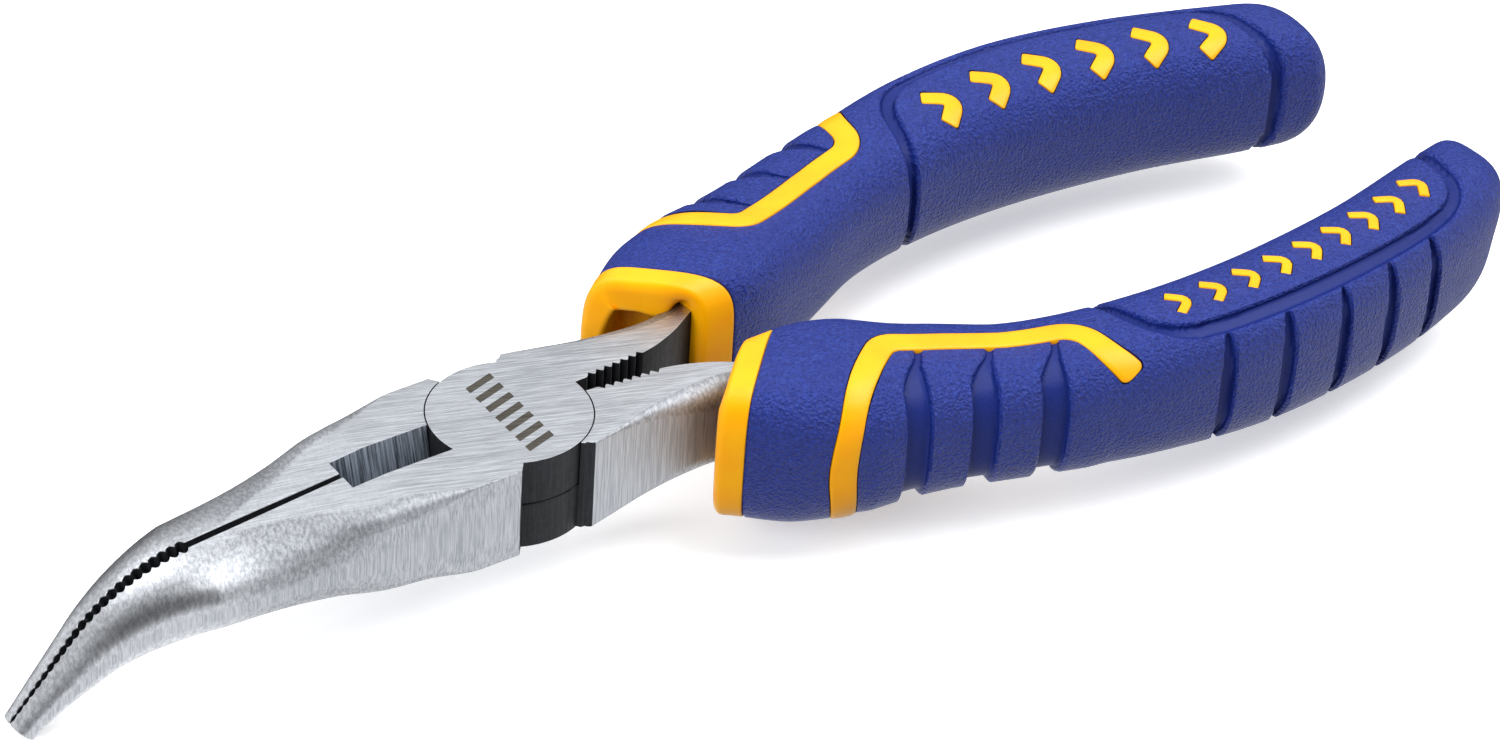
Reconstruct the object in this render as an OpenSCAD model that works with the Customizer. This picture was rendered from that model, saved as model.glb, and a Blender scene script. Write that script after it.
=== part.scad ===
// Bent needle nose pliers, 170 mm long: two forged steel halves in a lap joint, one flush
// rivet, and a two-part moulded grip on each handle.
//
// Millimetres. The origin is on the pivot axis, in the flat underside of the joint. The nose
// points to -X and its tip bends towards -Z, and the handles point to +X. The left side is
// at -Y and the right side at +Y. The pliers are modelled closed.

/* [Joint] */
// Thickness of the joint and of the handle necks
joint_t = 10.3; // [9.8:0.1:11]
// Radius of the round lap on each half
lap_r = 8.2; // [7.8:0.1:8.4]
// Half width across the shoulders behind the jaws
jaw_shoulder = 9; // [8.7:0.1:9.4]
// Half width across the shoulders in front of the handles
neck_shoulder = 8.5; // [8.4:0.1:9]
// Radius of the pivot rivet
rivet_r = 4; // [3:0.25:4.5]
// Radius of the rivet's two flush heads
rivet_head_r = 4.9; // [4.7:0.1:5.5]
// Depth of the countersinks for the heads
rivet_head_t = 1; // [0.6:0.1:1.5]
// Radial clearance between the rivet and the half that turns on it
run_gap = 0.04; // [0.02:0.01:0.1]
// Clearance between the two laps, and round each lap
lap_gap = 0.08; // [0.05:0.01:0.15]

/* [Nose] */
// Distance from the pivot to the start of the bend, along the top of the nose
bend_x = 35.9; // [33:0.1:38]
// Height of the top of the nose where the bend starts
bend_z = 8.35; // [8:0.05:8.8]
// Slope of the top of the straight nose, in degrees
slope_a = 5.4; // [5:0.2:7]
// Angle of the nose tip below the horizontal, in degrees
bend_a = 48; // [30:1:60]
// Radius of the bend along the top of the nose
bend_r = 19.1; // [17:0.1:25]
// Length from the start of the bend to the tip, along the top
bend_len = 24.2; // [23:0.2:28]
// Half width of the nose where the bend starts
bend_w = 6.8; // [6:0.1:7.4]
// Half thickness of the nose where the bend starts
bend_h = 4; // [3.6:0.1:4.2]
// Half width of the closed tip
tip_w = 2.05; // [1.6:0.05:2.6]
// Half thickness of the tip
tip_h = 1.37; // [1.2:0.01:2]
// Half of the gap between the plain parts of the jaws
jaw_gap = 0.25; // [0.1:0.05:0.3]
// Half of the gap between the jaw teeth where the bend starts
tooth_gap = 0.3; // [0.1:0.05:0.4]
// Half of the gap between the jaw teeth at the tip
tip_gap = 0.03; // [0.02:0.01:0.1]
// Depth of the jaw teeth
tooth_d = 0.28; // [0.1:0.02:0.4]
// Spacing of the jaw teeth
tooth_pitch = 1; // [1:0.1:1.4]

/* [Cutter] */
// Distance from the pivot to the front of the cutter
cutter_front = 19; // [17:0.5:20]
// Half width of the cutter's recess in the top face
cutter_w = 2.3; // [1.5:0.1:2.8]
// Height of the cutting edges
cutter_z = 3; // [2:0.1:4]
// Half width of the cutter's recess in the underside
cutter_under_w = 1.3; // [0.8:0.1:1.8]

/* [Handles] */
// Distance behind the pivot where the thick neck ends
neck_end = 28; // [27:0.5:28.5]
// Distance behind the pivot where the hidden tang ends
tang_end = 96; // [80:1:100]
// Half width of the hidden tang
tang_w = 2.4; // [2:0.1:2.8]
// Thickness of the hidden tang
tang_t = 5.6; // [4.5:0.1:6.4]
// Number of teeth on the inner edge of each neck
neck_teeth = 7; // [4:1:8]

/* [Grips] */
// Slant of the collar's mouth across the grip, in degrees
mouth_a = 45; // [40:1:48]
// Distance behind the pivot at which the collar meets the grip cover
collar_x = 23.4; // [22.8:0.2:24]
// Offset of that point from the centre plane
collar_y = 9; // [8.5:0.1:9.5]
// Width of the collar's band
collar_w = 2.9; // [2.5:0.1:3.2]
// Thickness of the collar's wall at its mouth
collar_wall = 2.2; // [2:0.1:2.3]
// Depth of the mouth behind the rim
mouth_depth = 7.5; // [7:0.5:9]
// Thickness of the cover over the sleeve
cover_t = 1.2; // [1:0.1:1.4]
// Length of the rounded end of the grip
round_len = 7; // [5:0.5:9]

/* [Hidden] */

steel = "silver";
yellow = "gold";
blue = "royalblue";

mid_z = joint_t / 2;
// Half side of the blocks that cut along a plane
far = 150;
// Squareness of the nose's and the grips' sections, where 2 is an ellipse
nose_n = 2.15;
grip_n = 3;

// Half width, at height w, of a rounded section with half axes a and b
function bulge(w, a, b, n) = a * pow(max(0, 1 - pow(min(1, abs(w) / b), n)), 1 / n);

// Point on a smooth curve through the rows of a table, where t counts rows from 0
function smooth(rows, t) =
    let (n = len(rows) - 1,
         i = min(n - 1, max(0, floor(t))),
         u = t - i,
         b = rows[i],
         c = rows[i + 1],
         a = i > 0 ? rows[i - 1] : 2 * b - c,
         d = i < n - 1 ? rows[i + 2] : 2 * c - b)
    b + 0.5 * u * (c - a + u * (2 * a - 5 * b + 4 * c - d + u * (3 * b - a - 3 * c + d)));

function curve(rows, steps) =
    [for (i = [0:(len(rows) - 1) * steps]) smooth(rows, i / steps)];

// A closed mesh through rings of equal length, each listed the same way round
module loft(rings) {
    m = len(rings[0]);
    last = (len(rings) - 1) * m;
    sides = [for (i = [0:len(rings) - 2], j = [0:m - 1])
        let (a = i * m + j, b = i * m + (j + 1) % m)
        each [[a, b + m, b], [a, a + m, b + m]]];
    caps = [[for (j = [0:m - 1]) j], [for (j = [m - 1:-1:0]) last + j]];
    polyhedron(points = [for (r = rings) each r], faces = concat(sides, caps), convexity = 8);
}

// ---- Nose -------------------------------------------------------------------------------
// s is the distance along the top of the nose: 0 where the bend starts, positive towards
// the tip and negative towards the pivot.

// Growth of the nose's flat top away from the bend, per mm
crease_rate = 0.048;
// Growth of each jaw's width away from the bend, per mm
jaw_taper = 0.081;
// How fast the width and the thickness fade towards the tip
width_fade = 1.25;
thickness_fade = 1.3;
// Points round the outside of a jaw's section
jaw_arc = 12;
// Where the jaw's heel ends, under the lap
heel_x = 2.6;

bend_s = bend_r * (bend_a - slope_a) * PI / 180;
flat_s = -(joint_t - bend_z) / sin(slope_a);
heel_s = -(bend_x - heel_x) / cos(slope_a);

function nose_a(s) =
    s < flat_s ? 0
    : s < 0 ? slope_a
    : s < bend_s ? slope_a + s / bend_r * 180 / PI
    : bend_a;

function on_bend(a) =
    [-bend_x - bend_r * (sin(a) - sin(slope_a)), bend_z - bend_r * (cos(slope_a) - cos(a))];

// The line along the top of the nose, as [x, z]
function ridge(s) =
    s < 0 ? [-bend_x - s * cos(slope_a), min(joint_t, bend_z - s * sin(slope_a))]
    : s < bend_s ? on_bend(nose_a(s))
    : on_bend(bend_a) - (s - bend_s) * [cos(bend_a), sin(bend_a)];

function nose_w(s) =
    s < 0 ? min(jaw_shoulder, bend_w - jaw_taper * s)
    : tip_w + (bend_w - tip_w) * pow(max(0, 1 - s / bend_len), width_fade);

function nose_h(s) =
    s < flat_s ? mid_z
    : s < 0 ? bend_h + (mid_z - bend_h) * s / flat_s
    : tip_h + (bend_h - tip_h) * (0.5 + 0.5 * cos(180 * pow(min(1, s / bend_len), thickness_fade)));

// How much taller the full round section is than the nose, which cuts it flat
function crown(s) = s < 0 ? exp(-crease_rate * s) : 1;

// One jaw's section as [y, w]: the inner top corner, round the outside, the inner bottom corner
function jaw_section(s, gap) =
    let (a = nose_w(s),
         b = nose_h(s) * crown(s),
         up = min(nose_h(s), b * pow(1 - pow(gap / a, nose_n), 1 / nose_n)),
         heights = [for (i = [0:jaw_arc]) up * cos(180 * i / jaw_arc)])
    concat([[gap, up]],
           [for (w = heights) [max(gap + 0.05, bulge(w, a, b, nose_n)), w]],
           [[gap, -up]]);

function placed(s, yw) =
    let (top = ridge(s), a = nose_a(s), down = nose_h(s) - yw[1])
    [top[0] + down * sin(a), yw[0], top[1] - down * cos(a)];

plain_shares = [1, 0.8, 0.5, 0.25, 0.12];
full_s = (bend_w - jaw_shoulder) / jaw_taper;
plain_stations = concat([[heel_s, jaw_gap], [full_s, jaw_gap]], [for (k = plain_shares) [flat_s * k, jaw_gap]]);
tooth_steps = floor(bend_len / tooth_pitch * 2);
tooth_stations = [for (i = [0:tooth_steps])
    let (s = bend_len * i / tooth_steps)
    [s, tooth_gap + (tip_gap - tooth_gap) * s / bend_len + (i % 2) * tooth_d]];

// The right jaw before the laps are cut, with its heel running under the lap
module jaw() {
    loft([for (st = concat(plain_stations, tooth_stations))
        [for (yw = jaw_section(st[0], st[1])) placed(st[0], yw)]]);
}

// Recess over and under the cutting edges of both jaws
module cutter_recess() {
    edge = 0.05;
    over = 1;
    top_rate = (cutter_w - edge) / (joint_t - cutter_z);
    under_rate = (cutter_under_w - edge) / cutter_z;
    right = [[cutter_under_w + under_rate * over, -over],
             [edge, cutter_z],
             [cutter_w + top_rate * over, joint_t + over]];
    translate([-cutter_front, 0, 0])
        rotate([90, 0, 90])
            linear_extrude(height = cutter_front)
                polygon(concat(right, [for (i = [len(right) - 1:-1:0]) [-right[i][0], right[i][1]]]));
}

// ---- Grip shape -------------------------------------------------------------------------

// Stations of a grip: distance behind the pivot, offset from centre, half width, half height
grip_rows = [
    [8, 5.8, 2.8, 6.4],
    [16, 7.4, 4.2, 7.1],
    [21, 9, 5.9, 7.5],
    [26, 10.7, 7.6, 7.5],
    [32, 12.1, 8.4, 7.4],
    [40, 14.8, 7.6, 7],
    [50, 18.6, 6.8, 6.9],
    [62, 21.3, 6.8, 7.4],
    [76, 22.2, 7, 7.9],
    [92, 20.4, 6.8, 8],
    [106, 16.7, 6.3, 7.8],
    [115, 14, 5.6, 7.3],
];
// The last station, and the one where the sleeve ends inside the cover
end_row = len(grip_rows) - 1;
core_row = end_row - 1;
// Rings between stations, and points round a ring
grip_steps = 4;
ring_points = 24;

function grip_heading(t) =
    let (d = smooth(grip_rows, min(end_row, t + 0.02)) - smooth(grip_rows, max(0, t - 0.02)))
    atan2(d[1], d[0]);

// Share of the full section that is left near the rounded end, at a distance x behind the pivot
function end_share(x) =
    let (past = max(0, x - (grip_rows[end_row][0] - round_len)) / round_len)
    sqrt(max(0.03, 1 - pow(past, 2.6)));

// One ring of the right grip, shrunk by inset
function grip_ring(t, inset) =
    let (row = smooth(grip_rows, t),
         heading = grip_heading(t),
         a = row[2] * end_share(row[0]) - inset,
         b = row[3] * end_share(row[0]) - inset)
    [for (i = [0:ring_points - 1])
        let (c = cos(360 * i / ring_points),
             s = sin(360 * i / ring_points),
             u = a * sign(c) * pow(abs(c), 2 / grip_n),
             w = b * sign(s) * pow(abs(s), 2 / grip_n))
        [row[0] - u * sin(heading), row[1] + u * cos(heading), mid_z + w]];

module grip_body(inset, last_row) {
    loft([for (i = [0:last_row * grip_steps]) grip_ring(i / grip_steps, inset)]);
}

// Everything behind a plane parallel to the mouth, moved back along the grip by shift
module behind(shift) {
    translate([collar_x, collar_y, mid_z])
        rotate(mouth_a)
            translate([shift, -far, -far])
                cube(2 * far);
}

// ---- Handles ----------------------------------------------------------------------------

// Edges of the right neck in plan: distance behind the pivot, distance from centre
neck_outer = [[4.3, neck_shoulder], [7.5, 7.9], [11.5, 7.35], [16, 7.3], [21, 7.9], [neck_end, 10.4]];
neck_inner = [[neck_end, 6.4], [24.6, 4.9], [21, 2.9], [17, 1.6], [12, 1.1], [7, 0.8]];

module neck() {
    linear_extrude(height = joint_t)
        polygon(concat([[3, 7.5]], curve(neck_outer, 4), curve(neck_inner, 4), [[2, 0.8], [0, 4]]));
}

// Small teeth along the inner edge of the neck
module neck_tooth_cuts() {
    for (i = [0:neck_teeth - 1])
        translate([10 + i, 1 + 0.05 * i, mid_z])
            rotate(45)
                cube([0.7, 0.7, joint_t + 2], center = true);
}

// The hidden tang, which follows the middle of the grip
module tang() {
    rows = [for (t = [1.5:0.5:end_row]) smooth(grip_rows, t)];
    kept = [for (r = rows) if (r[0] > neck_end - 2 && r[0] < tang_end) r];
    translate([0, 0, mid_z - tang_t / 2])
        linear_extrude(height = tang_t)
            polygon(concat([[neck_end - 3, 6.2], [neck_end - 3, 9]],
                           [for (r = kept) [r[0], r[1] + tang_w]],
                           [for (i = [len(kept) - 1:-1:0]) [kept[i][0], kept[i][1] - tang_w]]));
}

// ---- Steel halves -----------------------------------------------------------------------

// Slanted ends of the shoulders, which leave room for the halves to turn
module shoulder_cuts() {
    cut = 4;
    lap_edge = [0.39, 0.92] * lap_r;
    for (end = [0, 1])
        mirror([end, 0, 0])
            translate([-lap_edge[0], lap_edge[1], -1])
                rotate(-52)
                    translate([-cut, 0, 0])
                        mirror([1, 0, 0])
                            translate([-cut, 0, 0])
                                cube([cut, cut, joint_t + 2]);
}

// Solid of the rivet, grown by gap for the bore that it runs in
module rivet_body(gap) {
    head = rivet_head_r + gap;
    shank = rivet_r + gap;
    rotate_extrude($fn = 64)
        polygon([[0, -gap], [head, -gap], [shank, rivet_head_t], [shank, joint_t - rivet_head_t],
                 [head, joint_t + gap], [0, joint_t + gap]]);
}

// One forging: a jaw on the right, a handle on the left, and a round lap that fills half of
// the joint's thickness. lap_z is the underside of its own lap, and room_z the underside of
// the room that it leaves for the other one.
module forging(lap_z, room_z, bore_gap) {
    difference() {
        union() {
            difference() {
                union() {
                    jaw();
                    mirror([0, 1, 0]) {
                        neck();
                        tang();
                    }
                }
                translate([0, 0, room_z])
                    cylinder(h = mid_z + 1, r = lap_r + lap_gap, $fn = 96);
                cutter_recess();
                shoulder_cuts();
                mirror([0, 1, 0]) {
                    shoulder_cuts();
                    neck_tooth_cuts();
                }
            }
            translate([0, 0, lap_z])
                cylinder(h = mid_z - lap_gap / 2, r = lap_r, $fn = 96);
        }
        rivet_body(bore_gap);
    }
}

module upper_half() {
    color(steel)
        mirror([0, 1, 0])
            forging(mid_z + lap_gap / 2, lap_gap / 2 - 1, 0);
}

module lower_half() {
    color(steel)
        forging(0, mid_z - lap_gap / 2, run_gap);
}

module pivot_rivet() {
    color(steel)
        rivet_body(0);
}

// ---- Grips ------------------------------------------------------------------------------

// The yellow sleeve on the right tang: a core under the cover and a band at the mouth
module sleeve() {
    difference() {
        union() {
            intersection() {
                grip_body(cover_t, core_row);
                behind(-collar_w);
            }
            difference() {
                intersection() {
                    grip_body(0, core_row);
                    behind(-collar_w);
                }
                behind(0);
            }
        }
        difference() {
            grip_body(collar_wall, core_row);
            behind(mouth_depth - collar_w);
        }
        tang();
        neck();
    }
}

// The blue cover moulded over the right sleeve
module cover() {
    difference() {
        intersection() {
            grip_body(0, end_row);
            behind(0);
        }
        grip_body(cover_t, core_row);
    }
}

module right_sleeve() {
    color(yellow)
        sleeve();
}

module left_sleeve() {
    color(yellow)
        mirror([0, 1, 0])
            sleeve();
}

module right_grip() {
    color(blue)
        cover();
}

module left_grip() {
    color(blue)
        mirror([0, 1, 0])
            cover();
}

upper_half();
lower_half();
pivot_rivet();
right_sleeve();
left_sleeve();
right_grip();
left_grip();
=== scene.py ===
"""Bent needle nose pliers: the looks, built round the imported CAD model.

Shapes are worked out in millimetres in the CAD frame: the pivot axis is at x = y = 0, the
underside of the joint is at z = 0, the nose points to -X and the handles point to +X.
Every mesh is scaled to metres when it is finished.
"""

import math

import bmesh
import bpy
import numpy as np
from mathutils import Matrix, Vector


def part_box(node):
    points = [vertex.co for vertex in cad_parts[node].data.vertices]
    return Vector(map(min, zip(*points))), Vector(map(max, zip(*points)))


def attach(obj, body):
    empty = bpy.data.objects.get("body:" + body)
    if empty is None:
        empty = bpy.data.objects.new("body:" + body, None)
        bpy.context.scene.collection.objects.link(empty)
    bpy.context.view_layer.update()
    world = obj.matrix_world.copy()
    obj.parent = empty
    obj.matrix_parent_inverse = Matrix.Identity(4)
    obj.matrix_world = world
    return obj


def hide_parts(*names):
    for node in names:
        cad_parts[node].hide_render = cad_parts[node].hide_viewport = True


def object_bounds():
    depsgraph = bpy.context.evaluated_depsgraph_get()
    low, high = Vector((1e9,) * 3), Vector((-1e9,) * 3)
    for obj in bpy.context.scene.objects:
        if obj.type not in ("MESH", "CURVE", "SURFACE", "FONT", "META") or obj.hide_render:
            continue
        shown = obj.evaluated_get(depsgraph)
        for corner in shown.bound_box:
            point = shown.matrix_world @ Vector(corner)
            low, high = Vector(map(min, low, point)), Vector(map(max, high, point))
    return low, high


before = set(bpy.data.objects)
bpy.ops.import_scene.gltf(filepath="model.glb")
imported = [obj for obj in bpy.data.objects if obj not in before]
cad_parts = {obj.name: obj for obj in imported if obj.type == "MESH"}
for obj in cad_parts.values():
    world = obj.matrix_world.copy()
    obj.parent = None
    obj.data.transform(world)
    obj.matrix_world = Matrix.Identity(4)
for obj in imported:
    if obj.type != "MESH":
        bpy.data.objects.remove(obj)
cad_low, cad_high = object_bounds()

MM = 0.001

# ---- Sizes from the frame ---------------------------------------------------------------

joint_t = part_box("pivot_rivet")[1].z / MM
mid_z = joint_t / 2
rivet_head_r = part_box("pivot_rivet")[1].x / MM
floor_z = cad_low.z - 0.1 * MM

# Finishes on the steel halves, by the order of their material slots
GROUND, OXIDE, ETCHED, RECESS = 0, 1, 2, 3


# ---- Mesh tools -------------------------------------------------------------------------

def new_object(name, points, faces, finishes=None, slots=4):
    """A mesh object from points in mm. finishes holds one material slot for each face."""
    mesh = bpy.data.meshes.new(name)
    mesh.from_pydata(np.asarray(points, float).tolist(), [], faces)
    for _ in range(slots):
        mesh.materials.append(None)
    if finishes is not None:
        mesh.polygons.foreach_set("material_index", np.asarray(finishes, np.int32))
    mesh.update()
    piece = bpy.data.objects.new(name, mesh)
    bpy.context.scene.collection.objects.link(piece)
    return piece


def loft(name, rings, finish=GROUND):
    """A closed solid through rings[ring][point][xyz], capped flat at both ends.

    finish is one finish for all, or one for each point of a ring, or one for each ring and point.
    """
    rings = np.asarray(rings, float)
    count, size = rings.shape[:2]
    grid = np.arange(count * size).reshape(count, size)
    ahead = np.roll(grid, -1, axis=1)
    faces = np.stack([grid[:-1], ahead[:-1], ahead[1:], grid[1:]], axis=-1).reshape(-1, 4).tolist()
    faces.append(grid[0][::-1].tolist())
    faces.append(grid[-1].tolist())
    caps = finish if np.ndim(finish) == 0 else GROUND
    finishes = np.broadcast_to(finish, (count - 1, size)).ravel().tolist() + [caps, caps]
    piece = new_object(name, rings.reshape(-1, 3), faces, finishes)
    face_outwards(piece)
    return piece


def face_outwards(piece):
    """Turns every face of a closed mesh to look outwards."""
    work = bmesh.new()
    work.from_mesh(piece.data)
    bmesh.ops.recalc_face_normals(work, faces=work.faces)
    if work.calc_volume(signed=True) < 0:
        bmesh.ops.reverse_faces(work, faces=work.faces)
    work.to_mesh(piece.data)
    work.free()


def prism(name, outline, low, high, finish=GROUND):
    """An upright prism over an outline of (x, y) points."""
    rings = [[(x, y, z) for x, y in outline] for z in (low, high)]
    return loft(name, rings, finish)


def circle(radius, count=192):
    turns = np.arange(count) * 2 * math.pi / count
    return np.stack([radius * np.cos(turns), radius * np.sin(turns)], axis=-1)


def boolean(piece, tool, operation):
    """Cuts piece with tool, or joins them. The tool is used up."""
    change = piece.modifiers.new("change", "BOOLEAN")
    change.operation = operation
    change.object = tool
    change.solver = "EXACT"
    change.material_mode = "INDEX"
    graph = bpy.context.evaluated_depsgraph_get()
    result = bpy.data.meshes.new_from_object(piece.evaluated_get(graph))
    piece.modifiers.clear()
    piece.data = result
    bpy.data.objects.remove(tool)


def joined(parts):
    """One object that holds the separate solids of several."""
    work = bmesh.new()
    for part in parts:
        work.from_mesh(part.data)
    whole = parts[0]
    work.to_mesh(whole.data)
    work.free()
    for part in parts[1:]:
        bpy.data.objects.remove(part)
    return whole


def mirrored(piece):
    """Turns a piece into its mirror image, on the other side of the centre plane."""
    piece.data.transform(Matrix.Diagonal((1, -1, 1, 1)))
    piece.data.flip_normals()
    return piece


def finish_piece(piece, name, body, materials, nodes=(), sharp=35):
    """Scales a piece to metres, gives it its shading, materials and body, and hides the CAD parts that
    it stands for.
    """
    piece.name = name
    mesh = piece.data
    mesh.name = name
    mesh.transform(Matrix.Scale(MM, 4))
    for i, material in enumerate(materials):
        mesh.materials[i] = material
    mesh.polygons.foreach_set("use_smooth", [True] * len(mesh.polygons))
    mesh.set_sharp_from_angle(angle=math.radians(sharp))
    mesh.update()
    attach(piece, body)
    if nodes:
        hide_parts(*nodes)


# ---- Curves -----------------------------------------------------------------------------

def step(low, high, value):
    """Smooth step from 0 at low to 1 at high."""
    share = np.clip((value - low) / (high - low), 0, 1)
    return share * share * (3 - 2 * share)


def smooth(rows, t):
    """Points on a smooth curve through the rows of a table, where t counts rows from 0."""
    rows = np.asarray(rows, float)
    t = np.asarray(t, float)
    last = len(rows) - 1
    ends = np.vstack([2 * rows[0] - rows[1], rows, 2 * rows[last] - rows[last - 1]])
    i = np.clip(np.floor(t).astype(int), 0, last - 1)
    u = (t - i)[..., None]
    a, b, c, d = (ends[i + k] for k in range(4))
    return b + 0.5 * u * (c - a + u * (2 * a - 5 * b + 4 * c - d + u * (3 * b - a - 3 * c + d)))


def bulge(w, a, b, n):
    """Half width, at height w, of a rounded section with half axes a and b."""
    return a * np.maximum(0, 1 - np.minimum(1, np.abs(w) / b) ** n) ** (1 / n)


# ---- Nose -------------------------------------------------------------------------------
# s is the distance along the top of the nose: 0 where the bend starts, positive towards
# the tip and negative towards the pivot.

# The start of the bend, the slopes before and after it, its radius, and its length to the tip
bend_x = 35.9
bend_z = 8.35
slope_a = math.radians(5.4)
bend_a = math.radians(48)
bend_r = 19.1
bend_len = 24.2
# Half widths of a jaw and half thicknesses of the nose, at the start of the bend and at the tip
bend_w = 6.8
bend_h = 4
tip_w = 2.05
tip_h = 1.37
# Half the gap between the jaws: near the joint, at the first tooth and at the tip
jaw_gap = 0.31
tooth_gap = 0.4
tip_gap = 0.04
tooth_pitch = 1
# The jaw widens backwards by jaw_taper up to jaw_shoulder. nose_n is how square its section is
jaw_shoulder = 9
jaw_taper = 0.081
nose_n = 2.15
# The flat top of a jaw: where it starts, its half width there, and how fast it widens
flat_s0 = -3.5
flat_w = 0.5
flat_rate = 0.57
heel_x = 2.6
# How far a blank stands over the faces that are ground off it
spare = 0.5

bend_s = bend_r * (bend_a - slope_a)
flat_s = -(joint_t - bend_z) / math.sin(slope_a)
full_s = (bend_w - jaw_shoulder) / jaw_taper
heel_s = -(bend_x - heel_x) / math.cos(slope_a)


def nose_angle(s):
    on_top = slope_a * step(full_s, flat_s, s)
    in_bend = slope_a + s / bend_r
    return np.where(s < 0, on_top, np.where(s < bend_s, in_bend, bend_a))


def ridge(s):
    """The line along the top of the nose, as x and z."""
    angle = np.clip(slope_a + s / bend_r, slope_a, bend_a)
    x = -bend_x - bend_r * (np.sin(angle) - math.sin(slope_a))
    z = bend_z - bend_r * (math.cos(slope_a) - np.cos(angle))
    beyond = np.maximum(0, s - bend_s)
    before = np.minimum(0, s)
    x = x - beyond * math.cos(bend_a) - before * math.cos(slope_a)
    z = z - beyond * math.sin(bend_a) - before * math.sin(slope_a)
    return x, np.minimum(joint_t, z)


def nose_width(s):
    along = np.clip(s / bend_len, 0, 1)
    in_front = tip_w + (bend_w - tip_w) * (1 - along) ** 1.25
    return np.where(s < 0, np.minimum(jaw_shoulder, bend_w - jaw_taper * s), in_front)


def nose_thickness(s):
    along = np.clip(s / bend_len, 0, 1)
    in_front = tip_h + (bend_h - tip_h) * (0.5 + 0.5 * np.cos(math.pi * along ** 1.3))
    behind = bend_h + (mid_z - bend_h) * np.minimum(1, s / flat_s)
    return np.where(s < 0, behind, in_front)


def tooth_hollow(s):
    """How far a jaw's gripping face stands off the centre plane."""
    along = np.clip(s / bend_len, 0, 1)
    base = tooth_gap + (tip_gap - tooth_gap) * along
    depth = 0.5 - 0.37 * along
    wave = np.abs(np.sin(math.pi * s / tooth_pitch)) ** 0.8
    plain = jaw_gap + (tooth_gap - jaw_gap) * step(-18, -2, s)
    return np.where(s < 0, plain, base + depth * wave)


def jaw():
    """The right jaw, with its heel running under the lap and spare metal on its flats."""
    rear = np.linspace(heel_s, flat_s, 26)[:-1]
    plain = np.linspace(flat_s, 0, 40)[:-1]
    teeth = np.linspace(0, bend_len - 0.12, int(bend_len / tooth_pitch) * 14)
    s = np.concatenate([rear, plain, teeth, [bend_len - 0.04, bend_len]])
    # The last two rings are smaller, to break the edge round the tip
    end_break = np.where(s > bend_len - 0.01, 0.12, np.where(s > bend_len - 0.05, 0.04, 0))
    a = nose_width(s) - end_break
    h = nose_thickness(s) - end_break
    gap = tooth_hollow(s) + end_break * 0.3
    # The outer corner of the flat widens backwards, and runs smoothly into the jaw's side
    side_land = 0.35
    least_land = 0.16
    wanted = flat_w + flat_rate * np.maximum(0, flat_s0 - s)
    most = a - side_land
    corner = (wanted + most - np.sqrt((wanted - most) ** 2 + 1)) / 2
    corner = np.where(s < flat_s0, np.maximum(corner, gap + least_land), gap + least_land)
    b = h / (1 - (corner / a) ** nose_n) ** (1 / nose_n)
    b = h + (b - h) * step(0, flat_s0, s)
    up = np.minimum(h, b * (1 - (corner / a) ** nose_n) ** (1 / nose_n))
    extra = np.clip((flat_s - s) * 0.2, 0, spare)
    land = corner - gap
    soft = np.minimum(0.12 + 1.9 * step(full_s - 1, full_s + 7, s), 0.45 * land)
    edge = 0.06

    def side(w):
        return bulge(w, a, b, nose_n)

    section = [(gap, up + extra - edge), (gap + edge, up + extra),
               (corner - soft - 0.1 * land, up + extra)]
    # A soft curve takes the flat over into the side
    start_y, start_w = corner - soft, up
    end_w = up - np.minimum(soft * 0.8, 0.3 * up)
    end_y = side(end_w)
    for share in np.linspace(0, 1, 7):
        keep = (1 - share) ** 2
        mid = 2 * share * (1 - share)
        section.append((keep * start_y + mid * corner + share ** 2 * end_y,
                        keep * start_w + mid * up + share ** 2 * end_w))
    for turn in np.linspace(0, math.pi, 46)[1:-1]:
        w = end_w * math.cos(turn)
        section.append((side(w), w))
    # The soft curve is repeated under the jaw
    for y, w in section[9:1:-1]:
        section.append((y, -w))
    section.append((gap + edge, -up - extra))
    section.append((gap, -up - extra + edge))
    y = np.array([point[0] for point in section]).T
    w = np.array([point[1] for point in section]).T
    x_top, z_top = ridge(s)
    angle = nose_angle(s)[:, None]
    down = h[:, None] - w
    x = x_top[:, None] + down * np.sin(angle)
    z = z_top[:, None] - down * np.cos(angle)
    rings = np.stack([x, y, z], axis=-1)
    columns = [GROUND] * len(section)
    columns[-1] = OXIDE
    return loft("jaw", rings, columns)


# ---- Handles ----------------------------------------------------------------------------

# Outer and inner edge of the neck: x and y
neck_outer = [[4.3, 8.5], [7.5, 7.9], [11.5, 7.35], [16, 7.3], [21, 7.9], [28, 10.4]]
neck_inner = [[7, 0.8], [12, 1.1], [17, 1.6], [21, 2.9], [24.6, 4.9], [28, 6.4]]
neck_end = 28
neck_teeth = 7
tooth_start = 9.6
# The curve of the neck's outer edge begins at this angle, and it is a little narrower than tall
curve_start = math.radians(8)
curve_width = 0.9


def edge_at(rows, x):
    """The y of an edge at x."""
    line = smooth(rows, np.linspace(0, len(rows) - 1, 200))
    return np.interp(x, line[:, 0], line[:, 1])


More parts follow.
